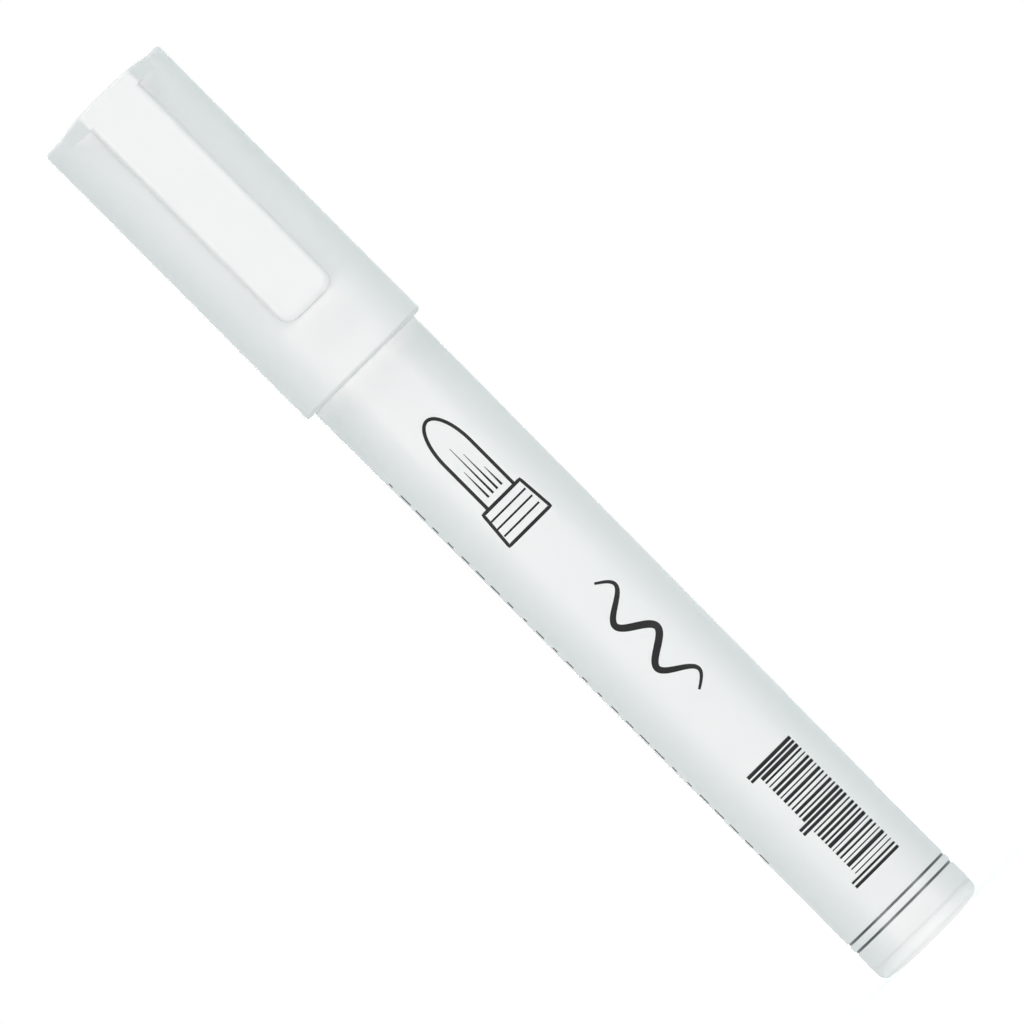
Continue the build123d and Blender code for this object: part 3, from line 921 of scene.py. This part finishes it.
def make_rows():
    """Block of plain bars near the tail, and a row of short dashes along the side."""
    printed_row(
        "print_bars",
        {
            "Bars": BARS_COUNT,
            "Start": (BARS_SIDE * MM, BARS_START * MM, 0.0),
            "Pitch": (0.0, BARS_PITCH * MM, 0.0),
            "Bar length": BARS_LENGTH * MM,
            "Pair step": BARS_PAIR_STEP,
            "Pair reach": BARS_PAIR_REACH * MM,
            "Thinnest": BARS_THINNEST * MM,
            "Thickest": BARS_THICKEST * MM,
            "Seed": BARS_SEED,
        },
    )
    printed_row(
        "print_dashes",
        {
            "Bars": DASHES_COUNT,
            "Start": (DASHES_ANGLE * BARREL_REAR_R, DASHES_START * MM, 0.0),
            "Pitch": (0.0, DASHES_PITCH * MM, 0.0),
            "Bar length": DASHES_STROKE * MM,
            "Pair step": 1,
            "Pair reach": 0.0,
            "Thinnest": DASHES_SHORTEST * MM,
            "Thickest": DASHES_LONGEST * MM,
            "Seed": DASHES_SEED,
        },
    )


def use_finish(material, *nodes):
    """Gives CAD nodes a material."""
    for name in nodes:
        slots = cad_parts[name].data.materials
        slots.clear()
        slots.append(material)


make_barrel()
make_ring()
make_sleeve()
make_plug()
make_spring()
make_nib_sign()
make_wave()
make_rows()
use_finish(cap_plastic, "cap_shell", "pocket_clip")
use_finish(liner_plastic, "cap_liner")
use_finish(nose_plastic, "front_section")
use_finish(nib_fibre, "nib")
use_finish(valve_plastic, "valve_housing", "valve_cage")
use_finish(plunger_plastic, "valve_plunger")
use_finish(gasket_rubber, "valve_gasket")
use_finish(ball_steel, "mixing_ball")


# Camera, light and floor

PAPER = (0.9, 0.9, 0.9, 1.0)
COOL_AMBIENT = (0.125, 0.235, 0.24, 1.0)
WARM = (1.0, 0.885, 0.88)
FAINTLY_WARM = (1.0, 0.95, 0.95)
NEUTRAL = (1.0, 1.0, 1.0)


def photograph_camera():
    """Long lens square to the axis, turned a little to the clip's side, with the cap to the upper left."""
    lens = bpy.data.cameras.new("camera")
    lens.lens = LENS
    lens.sensor_width = SENSOR
    distance = VIEW_WIDTH * LENS / SENSOR
    lens.clip_end = VIEW_REACH * distance
    target = Vector((VIEW_SIDE, 0, VIEW_HEIGHT))
    back = Vector((sin(VIEW_TURN), -cos(VIEW_TURN), 0))
    upright = (-back).to_track_quat("-Z", "Y").to_matrix().to_4x4()
    rolled = upright @ Matrix.Rotation(-VIEW_ROLL, 4, "Z")
    camera = bpy.data.objects.new("camera", lens)
    camera.matrix_world = Matrix.Translation(target + back * distance) @ rolled
    bpy.context.scene.collection.objects.link(camera)
    bpy.context.scene.camera = camera


def soft_light(name, place, size, power, tint):
    """Square soft box that faces the middle of the marker and that the lens doesn't see."""
    lamp = bpy.data.lights.new(name, "AREA")
    lamp.size = size
    lamp.energy = power
    lamp.color = tint
    light = bpy.data.objects.new(name, lamp)
    aim = Vector((0, 0, VIEW_HEIGHT)) - Vector(place)
    light.matrix_world = Matrix.Translation(place) @ aim.to_track_quat("-Z", "Y").to_matrix().to_4x4()
    light.visible_camera = False
    bpy.context.scene.collection.objects.link(light)


def shown_directly(tree):
    """1 for rays that see the backdrop itself, in the lens, a gloss or a clear piece."""
    path = node(tree, "ShaderNodeLightPath")
    lens_or_gloss = node(
        tree,
        "ShaderNodeMath",
        {0: path.outputs["Is Camera Ray"], 1: path.outputs["Is Glossy Ray"]},
        operation="MAXIMUM",
    )
    shown = node(
        tree,
        "ShaderNodeMath",
        {0: lens_or_gloss.outputs[0], 1: path.outputs["Is Transmission Ray"]},
        operation="MAXIMUM",
    )
    return shown.outputs[0]


def white_world(ambient):
    """White behind everything, and a cool even light on the object."""
    world = bpy.data.worlds.new("studio")
    bpy.context.scene.world = world
    world.use_nodes = True
    tree = world.node_tree
    tree.nodes.clear()
    light = node(tree, "ShaderNodeBackground", {"Color": ambient, "Strength": 1.0})
    white = node(tree, "ShaderNodeBackground", {"Color": (1, 1, 1, 1), "Strength": 1.0})
    mix = node(
        tree,
        "ShaderNodeMixShader",
        {0: shown_directly(tree), 1: light.outputs[0], 2: white.outputs[0]},
    )
    node(tree, "ShaderNodeOutputWorld", {"Surface": mix.outputs[0]})


def pale_floor():
    """Plain pale floor that shows white where no shadow lies, and keeps the shadow next to the marker."""
    mesh = bpy.data.meshes.new("floor")
    half = FLOOR_SIZE / 2
    corners = [(-half, -half, 0), (half, -half, 0), (half, half, 0), (-half, half, 0)]
    mesh.from_pydata(corners, [], [(0, 1, 2, 3)])
    floor = bpy.data.objects.new("floor", mesh)
    material = bpy.data.materials.new("floor paper")
    material.use_nodes = True
    tree = material.node_tree
    tree.nodes.clear()
    paper = node(tree, "ShaderNodeBsdfDiffuse", {"Color": PAPER})
    place = node(tree, "ShaderNodeTexCoord").outputs["Object"]
    reach = node(tree, "ShaderNodeVectorMath", {0: place}, operation="LENGTH")
    lift = node(
        tree,
        "ShaderNodeMapRange",
        {
            "Value": reach.outputs["Value"],
            "From Min": FLOOR_NEAR,
            "From Max": FLOOR_FAR,
            "To Min": FLOOR_LIFT_NEAR,
            "To Max": FLOOR_LIFT_FAR,
        },
        interpolation_type="SMOOTHSTEP",
    )
    under_foot = node(
        tree,
        "ShaderNodeMapRange",
        {
            "Value": reach.outputs["Value"],
            "From Min": FOOT_GLOW_R,
            "From Max": FOOT_GLOW_END_R,
            "To Min": FOOT_GLOW,
            "To Max": 0.0,
        },
    )
    strength = node(
        tree,
        "ShaderNodeMix",
        {0: shown_directly(tree), 2: under_foot.outputs[0], 3: lift.outputs[0]},
    )
    glow = node(tree, "ShaderNodeEmission", {"Color": (1, 1, 1, 1), "Strength": strength.outputs[0]})
    lit = node(tree, "ShaderNodeAddShader", {0: paper.outputs[0], 1: glow.outputs[0]})
    node(tree, "ShaderNodeOutputMaterial", {"Surface": lit.outputs[0]})
    mesh.materials.append(material)
    bpy.context.scene.collection.objects.link(floor)


photograph_camera()
soft_light("key", (-0.85, -1.0, 0.1), size=0.7, power=8.5, tint=WARM)
soft_light("fill", (0.85, -1.0, 0.1), size=0.7, power=6.8, tint=WARM)
soft_light("front", (0.0, -1.3, 0.1), size=0.7, power=2.8, tint=WARM)
soft_light("back", (0.0, 1.3, 0.15), size=0.4, power=11.0, tint=WARM)
soft_light("top", (0.0, -0.15, 1.4), size=0.6, power=10.0, tint=FAINTLY_WARM)
soft_light("rim", (1.1, 0.35, 0.15), size=0.6, power=0.5, tint=NEUTRAL)
white_world(COOL_AMBIENT)
pale_floor()
bpy.context.scene.view_settings.view_transform = "Standard"
